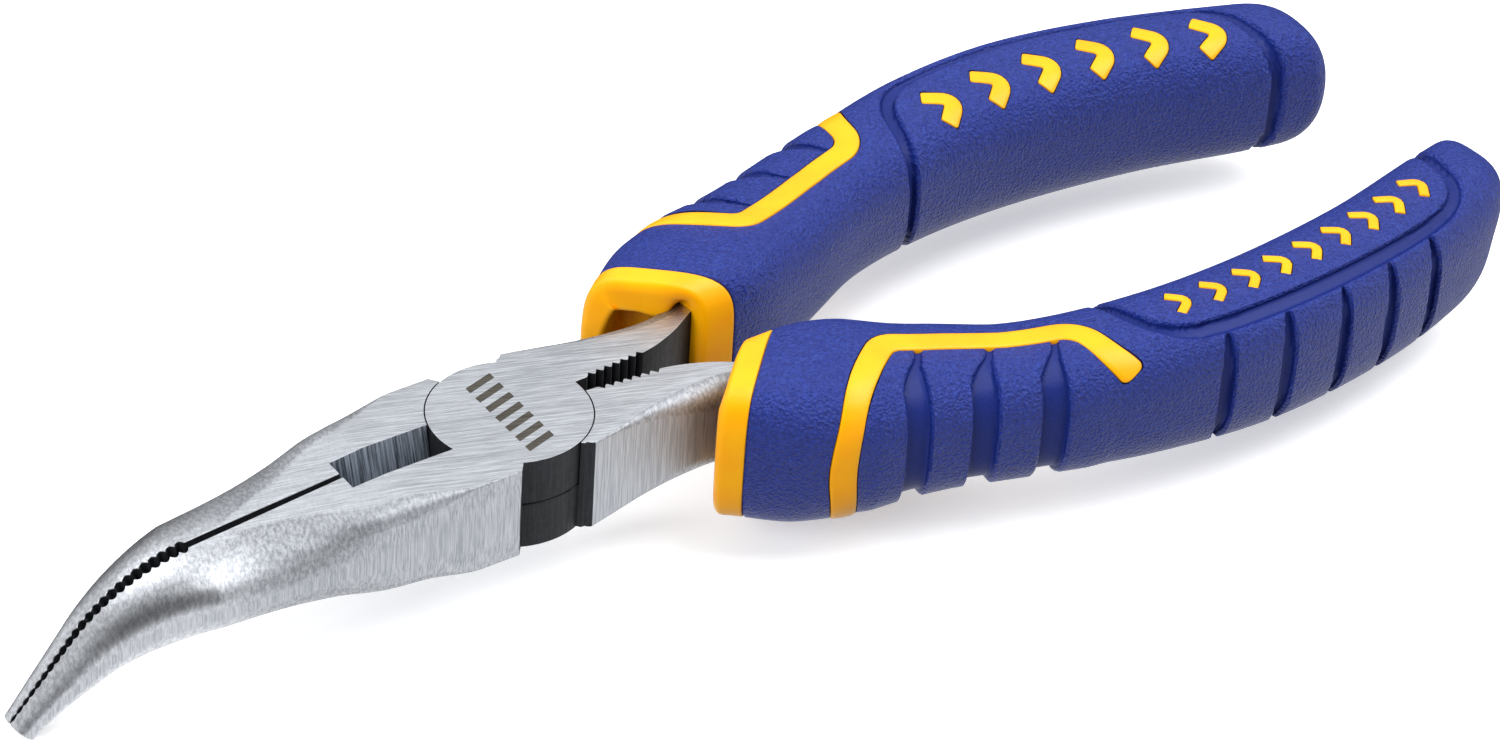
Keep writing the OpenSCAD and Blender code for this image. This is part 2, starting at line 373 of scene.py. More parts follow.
def neck():
    """The neck of the right handle, with rounded outer edges and spare metal on its flats."""
    x = np.concatenate([[1.0, 2.0, 3.0], np.arange(3.4, neck_end + 2, 0.1)])
    outer = edge_at(neck_outer, x) - 0.45 * np.clip((4.6 - x) / 0.7, 0, 1) ** 2
    inner = edge_at(neck_inner, x)
    along = (x - tooth_start) % 1
    teeth = (x > tooth_start) & (x < tooth_start + neck_teeth)
    inner = inner + np.where(teeth, 0.55 * (1 - np.abs(2 * along - 1)) ** 1.3, 0)
    radius = 0.15 + 3.6 * step(4, 26, x)
    section = [(inner, joint_t + spare), (outer - radius - 0.25, joint_t + spare)]
    curve = []
    for turn in np.linspace(curve_start, math.pi / 2, 14):
        reach = radius * (1 - math.sin(turn)) * curve_width
        curve.append((outer - reach, joint_t - radius * (1 - math.cos(turn))))
    # The curve runs on a little above the flat, so that grinding leaves no step
    first_y, first_z = curve[0]
    section.append((first_y - 0.38, first_z + 0.06))
    section += curve
    for y, z in section[::-1]:
        section.append((y, joint_t - z))
    y = np.array([point[0] for point in section]).T
    z = np.array([point[1] + 0 * x for point in section]).T
    rings = np.stack([x[:, None] + 0 * y, y, z], axis=-1)
    # The inner side and the end next to the joint are blackened
    finish = np.full((len(x) - 1, len(section)), GROUND)
    finish[:, -1] = OXIDE
    finish[x[1:] < 4.55, :] = OXIDE
    return loft("neck", rings, finish)


def tang():
    """The flat tang inside the grip, along the middle of the grip's sections."""
    rows = smooth(grip_rows, np.linspace(1.6, 9.4, 60))
    rows = rows[(rows[:, 0] > 25) & (rows[:, 0] < 96)]
    half_w, half_t = 2.4, 2.8
    corners = [(-half_w, -half_t), (half_w, -half_t), (half_w, half_t), (-half_w, half_t)]
    return loft("tang", [[(r[0], r[1] + y, mid_z + z) for y, z in corners] for r in rows], OXIDE)


# ---- Steel halves -----------------------------------------------------------------------

lap_r = 8.2
room_r = lap_r + 0.13
lap_gap = 0.08
# The edge of a lap is broken by this much where it meets the other lap
lap_edge = 0.13
cutter_front = 19
rivet_r = 4
rivet_gap = 0.004
shoulder_slant = math.radians(52)
# The undersides are ground flat from the handles to this x
under_x = -17.9


def shoulder_cutter(end, side):
    """The block that slants a shoulder, so that the halves have room to turn."""
    start = Vector((end * -0.39 * lap_r, side * 0.92 * lap_r))
    along = Vector((end * -math.cos(shoulder_slant), side * math.sin(shoulder_slant)))
    across = Vector((end * math.sin(shoulder_slant), side * math.cos(shoulder_slant)))
    near, far = start - 0.4 * along, start + 4 * along
    corners = [near, far, far + 5 * across, near + 5 * across]
    return prism("shoulder", [tuple(c) for c in corners], -2, joint_t + 2, OXIDE)


def cutter_recess():
    """The recess over and under the cutting edges."""
    edge, over, height = 0.05, 1, 3
    top_w, under_w = 2.3, 1.3
    top_rate = (top_w - edge) / (joint_t - height)
    under_rate = (under_w - edge) / height
    half = [(under_w + under_rate * over, -over), (edge, height),
            (top_w + top_rate * over, joint_t + over)]
    outline = half + [(-y, z) for y, z in half[::-1]]
    return loft("recess", [[(x, y, z) for y, z in outline] for x in (-cutter_front, -1)], RECESS)


def rivet_profile(gap):
    """Radius and height up the rivet, or up its bore if there is a gap round it."""
    head = rivet_head_r + gap
    shank = rivet_r + gap
    rim, taper = 0.02, 1
    return [(head, -gap), (head, rim), (shank, taper),
            (shank, joint_t - taper), (head, joint_t - rim), (head, joint_t + gap)]


def lathe(name, profile, finish=GROUND):
    """A turned solid from a profile of (radius, height) points."""
    rings = [[(x, y, z) for x, y in circle(r)] for r, z in profile]
    return loft(name, rings, finish)


def etched_marks():
    """Cutters for a row of slanted bars, etched across the disk."""
    count, pitch, depth = 7, 1.8, 0.04
    lean, half_h, half_w = 0.5, 1.7, 0.45
    tools = []
    for i in range(count):
        centre = (i - (count - 1) / 2) * pitch
        outline = [(-half_h, centre - half_w - lean), (half_h, centre - half_w + lean),
                   (half_h, centre + half_w + lean), (-half_h, centre + half_w - lean)]
        tools.append(prism("etch", outline, joint_t - depth, joint_t + 1, ETCHED))
    return tools


def lap_profile(low, high, top_lap):
    """Radius and height up a lap, whose edge is broken where it meets the other lap."""
    if top_lap:
        return [(lap_r - lap_edge, low), (lap_r, low + lap_edge), (lap_r, high)]
    return [(lap_r, low), (lap_r, high - lap_edge), (lap_r - lap_edge, high)]


def forging(top_lap):
    """One steel half: a jaw on the right, a handle on the left, and a round lap.

    Room for the other lap is cut into the jaw and the neck, a touch deeper than the lap's face.
    """
    over, touch = 60, 0.01
    if top_lap:
        lap_low, lap_high = mid_z + lap_gap / 2, joint_t + spare
        room_low, room_high = -2, lap_low + touch
    else:
        lap_low, lap_high = -spare, mid_z - lap_gap / 2
        room_low, room_high = lap_high - touch, joint_t + 2
    jaw_part = jaw()
    neck_part = mirrored(neck())
    for part in (jaw_part, neck_part):
        boolean(part, prism("room", circle(room_r), room_low, room_high, OXIDE), "DIFFERENCE")
    boolean(jaw_part, cutter_recess(), "DIFFERENCE")
    boolean(jaw_part, shoulder_cutter(1, 1), "DIFFERENCE")
    boolean(neck_part, shoulder_cutter(-1, -1), "DIFFERENCE")
    half = lathe("half", lap_profile(lap_low, lap_high, top_lap), OXIDE)
    boolean(half, jaw_part, "UNION")
    boolean(half, neck_part, "UNION")
    boolean(half, mirrored(tang()), "UNION")
    for start, low, high in ((-over, joint_t, joint_t + 5), (under_x, -5, 0)):
        outline = [(start, -over), (over, -over), (over, over), (start, over)]
        boolean(half, prism("grind", outline, low, high), "DIFFERENCE")
    boolean(half, lathe("bore", rivet_profile(rivet_gap), OXIDE), "DIFFERENCE")
    return half


# ---- Grip shape -------------------------------------------------------------------------
# A point of a grip is given by x, the distance of its section behind the pivot, and by the
# angle round the section: 0 on the outer side, 90 on top, 180 on the inner side.

# Sections of the grip: x and y of the middle, then half width and half thickness
grip_rows = np.array([
    [8, 5.8, 2.8, 6.4],
    [16, 7.4, 4.2, 7.1],
    [21, 9, 5.9, 7.5],
    [26, 10.7, 7.6, 7.5],
    [32, 12.1, 8.4, 7.4],
    [40, 14.8, 7.6, 7],
    [50, 18.6, 6.8, 6.9],
    [62, 21.3, 6.8, 7.4],
    [76, 22.2, 7, 7.9],
    [92, 20.4, 6.8, 8],
    [106, 16.7, 6.3, 7.8],
    [115, 14, 5.6, 7.3],
])
grip_n = 3
# The rows of the mesh lie closer together over this length of the end
round_len = 12.5
# How much the front of the grip swells over its upper and lower faces: x and mm
upper_swell = np.array([[12, 1.0], [20, 1.1], [26, 1.5], [33, 1.5], [39, 0.8], [47, 0]])
lower_swell = np.array([[12, 0], [20, 0.1], [25, 0.8], [30, 0.9], [36, 0.3], [42, 0]])
# The end cap rounds off round a point that lies towards the inner side
end_shift = -0.6
# Millimetres round the surface for one degree round the section
ARC = 0.127
# The plane between the collar and the cover: x + y at the plane, on the right side
mouth_sum = 32.4
collar_w = 2.9
collar_wall = 2.2
mouth_depth = 7.5
cover_t = 1.2

row_line = np.linspace(0, len(grip_rows) - 1, 2200)
row_x_line = smooth(grip_rows, row_line)[:, 0]
end_x = grip_rows[-1][0] - 0.9


def grip_surface(x, degrees):
    """Plain surface of the right grip before its details are moulded in."""
    x, degrees = np.broadcast_arrays(np.asarray(x, float), np.asarray(degrees, float))
    t = np.interp(x, row_x_line, row_line)
    row = smooth(grip_rows, t)
    nudge = 0.02
    ahead = smooth(grip_rows, np.minimum(len(grip_rows) - 1, t + nudge))
    behind = smooth(grip_rows, np.maximum(0, t - nudge))
    heading = np.arctan2(ahead[..., 1] - behind[..., 1], ahead[..., 0] - behind[..., 0])
    turn = np.radians(degrees)
    c, s = np.cos(turn), np.sin(turn)
    # The end starts to round off earlier on the outer side than on the inner side
    fade = 7.4 + 5.2 * c - 1.6 * s - 1.35 * c * s
    past = np.clip((x - (end_x - fade)) / fade, 0, 1)
    share = np.maximum(0, 1 - past ** 2.7) ** 0.45
    # The section is squarer near the mouth on the inner side
    n = grip_n + (1 - c) * step(38, 26, x)
    spread = (np.abs(c / row[..., 2]) ** n + np.abs(s / row[..., 3]) ** n) ** (-1 / n)
    middle = end_shift * row[..., 2]
    u = middle + (spread * c - middle) * share
    w = spread * s * share
    # The upper swell is stronger towards the inner side
    upper = np.interp(x, upper_swell[:, 0], upper_swell[:, 1]) * (0.55 - 0.35 * c)
    lower = np.interp(x, lower_swell[:, 0], lower_swell[:, 1])
    w = w * (1 + np.where(s > 0, upper, lower) / row[..., 3])
    return np.stack([x - u * np.sin(heading), row[..., 1] + u * np.cos(heading), mid_z + w], axis=-1)


def grip_point(x, degrees, lift):
    """A point on the right grip, lifted off its plain surface by lift."""
    d = 0.05
    centre = grip_surface(x, degrees)
    along = grip_surface(np.minimum(x + d, end_x - 0.001), degrees) - grip_surface(x - d, degrees)
    around = grip_surface(x, degrees + 0.5) - grip_surface(x, degrees - 0.5)
    outwards = np.cross(around, along)
    outwards /= np.maximum(1e-9, np.linalg.norm(outwards, axis=-1, keepdims=True))
    return centre + outwards * np.asarray(lift, float)[..., None]


def mouth_x(degrees, ahead):
    """The x of the plane that lies ahead mm in front of the cover, at each angle."""
    degrees = np.asarray(degrees, float)
    line = np.linspace(9, 36, 700)
    points = grip_surface(line[:, None], degrees[None, :])
    total = points[..., 0] + points[..., 1]
    target = mouth_sum - ahead * math.sqrt(2)
    return np.array([np.interp(target, total[:, j], line) for j in range(len(degrees))])


# ---- Details moulded into the cover -----------------------------------------------------

channel_rears = [38.2, 45.1, 51.5]
crescent_rears = [68.5, 75.4, 82.7, 89.5, 96.1]
# The edge of the raised panel on the inner side: x and angle, from the middle of the front
panel_edge = [[59, 180], [59, 145], [59.6, 123], [60.8, 100], [62.2, 80], [64.2, 68.5], [67.5, 65],
              [75, 65], [90, 65], [98, 65], [101.4, 69], [103.6, 82], [104.9, 102], [106, 122],
              [106.8, 145], [107, 180]]
groove_w = 1.45
channel_depth = 0.8


def panel_distance(x, folded):
    """Signed distance to the panel's edge over the unrolled surface, positive outside it."""
    edge = np.array(panel_edge, float)
    line = smooth(edge, np.linspace(0, len(edge) - 1, 160))
    line[:, 1] *= ARC
    px, py = x.ravel(), folded.ravel() * ARC
    best = np.full(px.shape, 1e9)
    inside = np.zeros(px.shape, bool)
    # The nearest stretch of the edge gives the distance, and each stretch below a point flips its side
    for (ax, ay), (bx, by) in zip(line[:-1], line[1:]):
        dx, dy = bx - ax, by - ay
        k = np.clip(((px - ax) * dx + (py - ay) * dy) / (dx * dx + dy * dy), 0, 1)
        best = np.minimum(best, np.hypot(px - ax - k * dx, py - ay - k * dy))
        if abs(dx) > 1e-9:
            crosses = (px >= min(ax, bx)) & (px < max(ax, bx))
            inside ^= crosses & (ay + dy * (px - ax) / dx < py)
    return np.where(inside, -best, best).reshape(x.shape)


def between(front, back, x, soft):
    """1 on the floor of a channel and 0 outside it. soft is how far the front wall slopes."""
    return step(front - 0.1, front + soft, x) * step(back + 0.08, back - 0.2, x)


def finger_channel(x, folded, rear):
    """A channel across the outer side, which narrows and gets shallower over the edge."""
    back = rear + 0.8 * step(62, 94, folded)
    front = back - 0.8 - 1.8 * step(80, 45, folded)
    inside = between(front, back, x, 0.18) * step(98, 90, folded)
    return inside, inside * channel_depth * (0.5 + 0.5 * step(85, 50, folded))


def crescent(x, folded, rear):
    """A crescent groove on the outer side, which comes to a point above and below."""
    reach = np.cos(np.clip(folded / 54, 0, 1) * math.pi / 2)
    swell = np.maximum(0, reach) ** 0.35
    back = rear + 0.25 * reach
    inside = between(back - 1.75 * swell, back, x, 0.2) * step(0.1, 0.6, swell)
    return inside, inside * channel_depth


def panel_groove(x, folded):
    """The groove round the raised panel."""
    distance = panel_distance(x, folded)
    inside = step(-0.08, 0.16, distance) * step(groove_w + 0.2, groove_w - 0.25, distance)
    return inside, inside * channel_depth


def moulded(x, degrees, panel_turn):
    """Lift of the cover's details, and how smooth the surface is there, which is also where it is
    painted darker as shade.
    """
    folded = np.abs((degrees + 180) % 360 - 180)
    hollows = [finger_channel(x, folded, rear) for rear in channel_rears]
    hollows += [crescent(x, folded, rear) for rear in crescent_rears]
    hollows.append(panel_groove(x, folded - panel_turn))
    pads = step(31, 33, x) * step(57, 54, x) * step(86, 60, folded)
    upper_edge = np.exp(-((degrees - 58) / 22) ** 2) * step(54, 66, x) * step(100, 76, x)
    lift = 0.2 * pads + 0.55 * upper_edge
    slick_and_shaded = np.zeros(x.shape)
    for inside, depth in hollows:
        lift -= depth
        slick_and_shaded = np.maximum(slick_and_shaded, inside)
    return lift, slick_and_shaded


def upright_rows(x, columns):
    """Rows of the grip that stand at the same x all round."""
    return np.repeat(x[:, None], columns, axis=1)


def cover(panel_turn):
    """The blue cover on the right grip: moulded outside, a wall at the front, and plain inside."""
    columns, spacing = 224, 0.24
    degrees = np.arange(columns) * 360 / columns
    front = mouth_x(degrees, 0)
    # Rows fan out from the slanted front to x = regular, and stand upright behind it
    regular = 34.0
    lead = front + (regular - front) * np.linspace(0, 1, 76)[:, None]
    body = np.arange(regular + spacing, end_x - round_len, spacing)
    last = end_x - round_len + round_len * np.sin(np.linspace(0, math.pi / 2, 42)[:-1])
    x = np.vstack([lead, upright_rows(np.concatenate([body, last]), columns)])
    lift, slick_and_shaded = moulded(x, np.broadcast_to(degrees, x.shape), panel_turn)
    # The rim at the front is rounded over
    edge = 0.18
    from_front = np.maximum(0, (x - front) * 0.7)
    lift -= edge * (1 - np.sqrt(1 - (1 - np.clip(from_front / edge, 0, 1)) ** 2))
    points = grip_point(x, degrees, lift)
    wall = grip_point(front[None, :], degrees, [[-0.6]])
    inner_x = np.vstack([front, upright_rows(np.linspace(36, end_x - 3, 22), columns)])
    inner = grip_point(inner_x, degrees, [[-cover_t]])
    rings = np.concatenate([inner[::-1], wall, points])
    piece = loft("cover", rings)
    # The inside and the front wall count as smooth, and are painted darker as shade along with the
    # channel floors.
    values = np.concatenate([np.ones((len(inner) + 1) * columns), slick_and_shaded.ravel()])
    layer = piece.data.attributes.new("slick_and_shaded", "FLOAT", "POINT")
    layer.data.foreach_set("value", values.astype(np.float32))
    return piece


# ---- Yellow inlays ----------------------------------------------------------------------

def rounded_path(corners, radii, spacing):
    """A path over the unrolled surface, with its corners rounded by arcs. Points are (mm, mm)."""
    corners = [Vector(c) for c in corners]
    line = [corners[0]]
    for before, corner, after, radius in zip(corners, corners[1:], corners[2:], radii[1:]):
        into = (corner - before).normalized()
        out = (after - corner).normalized()
        bend = into.angle_signed(out)
        limit = 0.48 * min((corner - before).length, (after - corner).length)
        back = min(radius * math.tan(abs(bend) / 2), limit)
        arc_r = back / math.tan(abs(bend) / 2)
        side = math.copysign(1, bend)
        first = corner - into * back
        centre = first + Vector((into.y, -into.x)) * arc_r * side
        for share in np.linspace(0, 1, 12):
            line.append(centre + Matrix.Rotation(-bend * share, 2) @ (first - centre))
    line.append(corners[-1])
    line = np.array([tuple(p) for p in line])
    lengths = np.concatenate([[0], np.cumsum(np.linalg.norm(np.diff(line, axis=0), axis=1))])
    count = max(8, int(lengths[-1] / spacing))
    at = np.linspace(0, lengths[-1], count)
    return np.stack([np.interp(at, lengths, line[:, k]) for k in (0, 1)], axis=-1), at


# Sections across a strip and its bed: share of the half width, and lift off the grip
strip_profile = [(-1, -0.7), (-1, -0.05), (-0.97, 0.04), (-0.9, 0.1), (-0.6, 0.15), (0, 0.17),
                 (0.6, 0.15), (0.9, 0.1), (0.97, 0.04), (1, -0.05), (1, -0.7), (0, -0.7)]
bed_profile = [(-1, -0.75), (-1, 0), (-1, 1.2), (-0.5, 1.2), (0, 1.2), (0.5, 1.2),
               (1, 1.2), (1, 0), (1, -0.75), (0.5, -0.75), (0, -0.75), (-0.5, -0.75)]


def ribbon(name, corners, half_w, end_r, grow=0.0):
    """A raised strip that follows the grip, or the cutter for its bed if it grows.

    Corners are (x, degrees, radius), and the strip's ends are rounded by end_r.
    """
    radii = [corner[2] for corner in corners]
    path, at = rounded_path([(x, degrees * ARC) for x, degrees, radius in corners], radii, 0.3)
    heading = np.gradient(path, axis=0)
    heading /= np.linalg.norm(heading, axis=1, keepdims=True)
    across = np.stack([-heading[:, 1], heading[:, 0]], axis=-1)
    total = at[-1]
    ends = end_r * (1 - np.cos(np.linspace(0.08, math.pi / 2, 9)))
    at_ends = np.concatenate([ends, at[(at > end_r) & (at < total - end_r)], total - ends[::-1]])
    centre = np.stack([np.interp(at_ends, at, path[:, k]) for k in (0, 1)], axis=-1)
    side = np.stack([np.interp(at_ends, at, across[:, k]) for k in (0, 1)], axis=-1)
    to_end = np.minimum(at_ends, total - at_ends)
    short = np.maximum(0, end_r - to_end)
    width = half_w + grow - end_r + np.sqrt(np.maximum(0, end_r ** 2 - short ** 2))
    if grow:
        tangent = np.stack([side[:, 1], -side[:, 0]], axis=-1)
        push = grow * np.where(at_ends < total / 2, -1, 1) * short / end_r
        centre = centre + tangent * push[:, None]
    profile = bed_profile if grow else strip_profile
    y, lift = np.array(profile).T
    flat = centre[:, None, :] + side[:, None, :] * (width[:, None] * y[None, :])[..., None]
    rings = grip_point(flat[..., 0], flat[..., 1] / ARC, np.broadcast_to(lift, flat.shape[:2]))
    return loft(name, rings)


# x, angle and corner radius along the stripe, from its end on the outer side
stripe_path = [(57.9, 41, 0), (56.1, 62, 10), (54.4, 97, 4), (46, 98, 40), (35.5, 99, 2.6),
               (32.7, 69, 20), (29.7, 41, 16), (28.7, 20, 20), (28.4, -6, 20), (29.1, -36, 20),
               (30.6, -66, 20), (34.8, -99, 4), (46, -99, 40), (54, -97, 3.6), (55.4, -76, 0)]
stripe_half = 1.32
stripe_end = 0.6
# Room between a strip and the edge of its bed
stripe_gap = 0.11
mark_gap = 0.09


def chevrons(first, pitch, count, centre, tall, reach, radius):
    """Paths of a row of chevrons that point along the grip."""
    half = tall / ARC / 2
    return [[(first + i * pitch, centre - half, 0), (first + i * pitch + reach, centre, radius),
             (first + i * pitch, centre + half, 0)] for i in range(count)]


# The marks differ from side to side, as the two grips do
right_marks = chevrons(65.5, 6.8, 6, 106, 4.4, 2.9, 1.2)
left_marks = chevrons(65.2, 4.3, 9, 93, 3.1, 1.9, 0.7)
right_mark_w = 0.95
left_mark_w = 0.5


# ---- Sleeve -----------------------------------------------------------------------------

def sleeve():
    """The right sleeve: the mouth, its rounded rim, the band and the core under the cover."""
    columns = 180
    degrees = np.arange(columns) * 360 / columns
    turn = np.radians(degrees)
    # The wall is thicker above and below, and most on the upper inner side, over the steel
    on_top = np.sin(turn) > 0
    over_steel = 0.5 * np.maximum(0, np.sin(turn)) + 1.3 * np.maximum(0, -np.sin(2 * turn)) * on_top
    wall = collar_wall + 1.1 * np.sin(turn) ** 2 + over_steel
    # Each row: distance ahead of the cover, and the share of the wall inwards from the surface
    deepest = collar_w - mouth_depth
    rows = [(deepest, 2.2), (deepest, 1.2), (deepest + 0.3, 1.1)]
    for ahead in np.linspace(deepest + 1, collar_w - 0.8, 8):
        rows.append((ahead, 1 + 0.09 * (collar_w - 0.8 - ahead) / mouth_depth))
    for bend in np.linspace(0.15, math.pi / 2, 9):
        rows.append((collar_w - 0.7 + 0.7 * math.sin(bend), 1 - 0.22 * (1 - math.cos(bend))))
    for bend in np.linspace(math.pi / 2, 0, 12):
        rows.append((collar_w - 0.8 + 0.8 * math.sin(bend), 0.34 * (1 - math.cos(bend))))
    for ahead in np.linspace(collar_w - 1.4, 0.3, 6):
        rows.append((ahead, 0.0))
    for bend in np.linspace(0.3, math.pi / 2, 5):
        rows.append((0.2 - 0.16 * math.sin(bend), 0.07 * (1 - math.cos(bend))))
    rows.append((0.04, 0.57))
    rings = []
    for ahead, share in rows:
        rings.append(grip_point(mouth_x(degrees, ahead), degrees, -share * wall))
    for x in np.linspace(36, 104, 36):
        rings.append(grip_point(np.full(columns, x), degrees, np.full(columns, -cover_t - 0.05)))
    return loft("sleeve", rings)


# ---- Materials --------------------------------------------------------------------------

def colour(red, green, blue):
    """A screen colour, 0 to 255, as the linear colour that a shader takes."""
    def linear(value):
        value /= 255
        return value / 12.92 if value <= 0.04045 else ((value + 0.055) / 1.055) ** 2.4
    return linear(red), linear(green), linear(blue), 1


class Shader:
    """Short calls for building the nodes of a material or of the world."""

    def __init__(self, block, surface="Principled BSDF"):
        block.use_nodes = True
        self.block = block
        self.tree = block.node_tree
        self.surface = self.tree.nodes[surface]

    def node(self, kind, **settings):
        made = self.tree.nodes.new("ShaderNode" + kind)
        for key, value in settings.items():
            setattr(made, key, value)
        return made

    def link(self, source, target):
        self.tree.links.new(source, target)

    def put(self, socket, value):
        if isinstance(value, bpy.types.NodeSocket):
            self.link(value, socket)
        else:
            socket.default_value = value

    def place(self, scale, turn=0.0):
        """Coordinates in mm, turned about Z and then scaled."""
        coords = self.node("TexCoord").outputs["Object"]
        turned = self.node("Mapping", vector_type="POINT")
        self.link(coords, turned.inputs["Vector"])
        turned.inputs["Rotation"].default_value = (0, 0, turn)
        scaled = self.node("Mapping", vector_type="POINT")
        self.link(turned.outputs["Vector"], scaled.inputs["Vector"])
        scaled.inputs["Scale"].default_value = [value / MM for value in scale]
        return scaled.outputs["Vector"]

    def noise(self, vector, detail, roughness):
        made = self.node("TexNoise")
        self.link(vector, made.inputs["Vector"])
        made.inputs["Scale"].default_value = 1
        made.inputs["Detail"].default_value = detail
        made.inputs["Roughness"].default_value = roughness
        return made.outputs["Fac"]

    def math(self, operation, a, b=0.0):
        made = self.node("Math", operation=operation)
        self.put(made.inputs[0], a)
        self.put(made.inputs[1], b)
        return made.outputs[0]

    def ramp(self, value, low, high, to_low=0.0, to_high=1.0):
        made = self.node("MapRange", interpolation_type="SMOOTHSTEP")
        self.put(made.inputs["Value"], value)
        made.inputs["From Min"].default_value = low
        made.inputs["From Max"].default_value = high
        made.inputs["To Min"].default_value = to_low
        made.inputs["To Max"].default_value = to_high
        return made.outputs["Result"]

    def mix(self, factor, a, b):
        made = self.node("Mix", data_type="FLOAT")
        self.put(made.inputs[0], factor)
        self.put(made.inputs[2], a)
        self.put(made.inputs[3], b)
        return made.outputs[0]

    def mix_colour(self, factor, a, b):
        made = self.node("Mix", data_type="RGBA")
        self.put(made.inputs[0], factor)
        self.put(made.inputs[6], a)
        self.put(made.inputs[7], b)
        return made.outputs[2]

    def bump(self, height, distance, normal=None, strength=1.0):
        made = self.node("Bump")
        self.put(made.inputs["Height"], height)
        made.inputs["Distance"].default_value = distance * MM
        made.inputs["Strength"].default_value = strength
        if normal is not None:
            self.link(normal, made.inputs["Normal"])
        return made.outputs["Normal"]

    def set(self, **values):
        for name, value in values.items():
            self.put(self.surface.inputs[name.replace("_", " ")], value)


def new_shader(name):
    return Shader(bpy.data.materials.new(name))


def ground_steel():
    """Belt-ground steel: long strokes on the flats, upright strokes on the sides, brighter nose, and a
    tone painted lighter or darker by facing.
    """
    shade = new_shader("ground_steel")
    geometry = shade.node("NewGeometry")
    facing = shade.node("SeparateXYZ")
    shade.link(geometry.outputs["Normal"], facing.inputs[0])
    # level is 1 on the flats and 0 on upright walls
    level = shade.math("ABSOLUTE", facing.outputs["Z"])
    flat = shade.ramp(level, 0.985, 0.999)
    wall = shade.ramp(level, 0.35, 0.1)
    strokes = shade.noise(shade.place((0.12, 6, 1), math.radians(20)), 4, 0.7)
    fine = shade.noise(shade.place((0.4, 13, 1), math.radians(17)), 3, 0.7)
    upright_strokes = shade.noise(shade.place((7, 7, 0.16)), 4, 0.7)
    speckle = shade.noise(shade.place((3.2, 1.6, 1.6), math.radians(20)), 4, 0.75)
    long_mix = shade.mix(0.45, strokes, fine)
    side_mix = shade.mix(wall, speckle, upright_strokes)
    height = shade.mix(flat, side_mix, long_mix)
    cloud = shade.noise(shade.place((0.12, 0.12, 0.12)), 3, 0.5)
    grey = shade.ramp(height, 0.34, 0.66)
    # Painted light and shade by facing: the flats are lightest, the sides mid and the rounded band
    # between them darkest; on the nose that band is lighter, partly for its polish and partly as
    # painted sheen.
    side_tone = shade.mix_colour(grey, colour(140, 144, 150), colour(182, 185, 190))
    band_tone = shade.mix_colour(grey, colour(126, 129, 134), colour(170, 173, 178))
    nose_tone = shade.mix_colour(grey, colour(157, 160, 166), colour(204, 207, 212))
    flat_tone = shade.mix_colour(grey, colour(146, 150, 157), colour(220, 224, 230))
    places = shade.node("SeparateXYZ")
    shade.link(shade.place((1, 1, 1)), places.inputs[0])
    polish_and_sheen = shade.ramp(places.outputs["X"], -bend_x - 3, -bend_x + 8, 1.0, 0.0)
    tone = shade.mix_colour(wall, shade.mix_colour(polish_and_sheen, band_tone, nose_tone), side_tone)
    tone = shade.mix_colour(flat, tone, flat_tone)
    tone = shade.mix_colour(shade.ramp(cloud, 0.3, 0.8, 0.0, 0.25), tone, colour(170, 173, 180))
    bevel = shade.node("Bevel", samples=4)
    bevel.inputs["Radius"].default_value = 0.09 * MM
    reach = shade.node("VectorMath", operation="LENGTH")
    shade.link(shade.place((1, 1, 0)), reach.inputs[0])
    # The bevel is kept off the fine gap round the rivet
    past_rivet = shade.ramp(reach.outputs["Value"], rivet_head_r + 0.6, rivet_head_r + 0.8)
    edges = shade.mix_colour(past_rivet, geometry.outputs["Normal"], bevel.outputs["Normal"])
    normal = shade.bump(height, 0.02, edges, 0.8)
    side_rough = shade.mix(polish_and_sheen, 0.56, 0.34)
    shade.set(Base_Color=tone, Metallic=0.96, Normal=normal)
    shade.set(Roughness=shade.mix(flat, side_rough, shade.ramp(height, 0.2, 0.8, 0.46, 0.36)))
    return shade.block


def shaded_steel(name, dark, light, metallic, contrast, pitted, strokes):
    """Steel with grinding lines and pits, for the darker faces in and next to the joint: the black
    oxide, and the ground recess, whose darkness is painted shade.

    contrast is the share of the pattern's range over which dark turns into light, pitted is the
    share of pits in the pattern, and strokes is the scale of the lines.
    """
    shade = new_shader(name)
    lines = shade.noise(shade.place(strokes), 4, 0.7)
    pits = shade.noise(shade.place((1.6, 1.6, 1.6)), 4, 0.7)
    height = shade.mix(pitted, lines, pits)
    tone = shade.mix_colour(shade.ramp(height, 0.5 - contrast, 0.5 + contrast), dark, light)
    shade.set(Base_Color=tone, Metallic=metallic, Roughness=shade.ramp(height, 0.3, 0.7, 0.58, 0.45))
    shade.set(Normal=shade.bump(height, 0.02), Specular_IOR_Level=0.2)
    return shade.block


def etched_steel():
    """The dull brown-grey of an etched mark."""
    shade = new_shader("etched_steel")
    strokes = shade.noise(shade.place((0.3, 6, 1), math.radians(20)), 4, 0.7)
    tone = shade.mix_colour(shade.ramp(strokes, 0.3, 0.7), colour(56, 53, 47), colour(90, 86, 78))
    shade.set(Base_Color=tone, Metallic=0.6, Roughness=0.5, Normal=shade.bump(strokes, 0.01))
    return shade.block


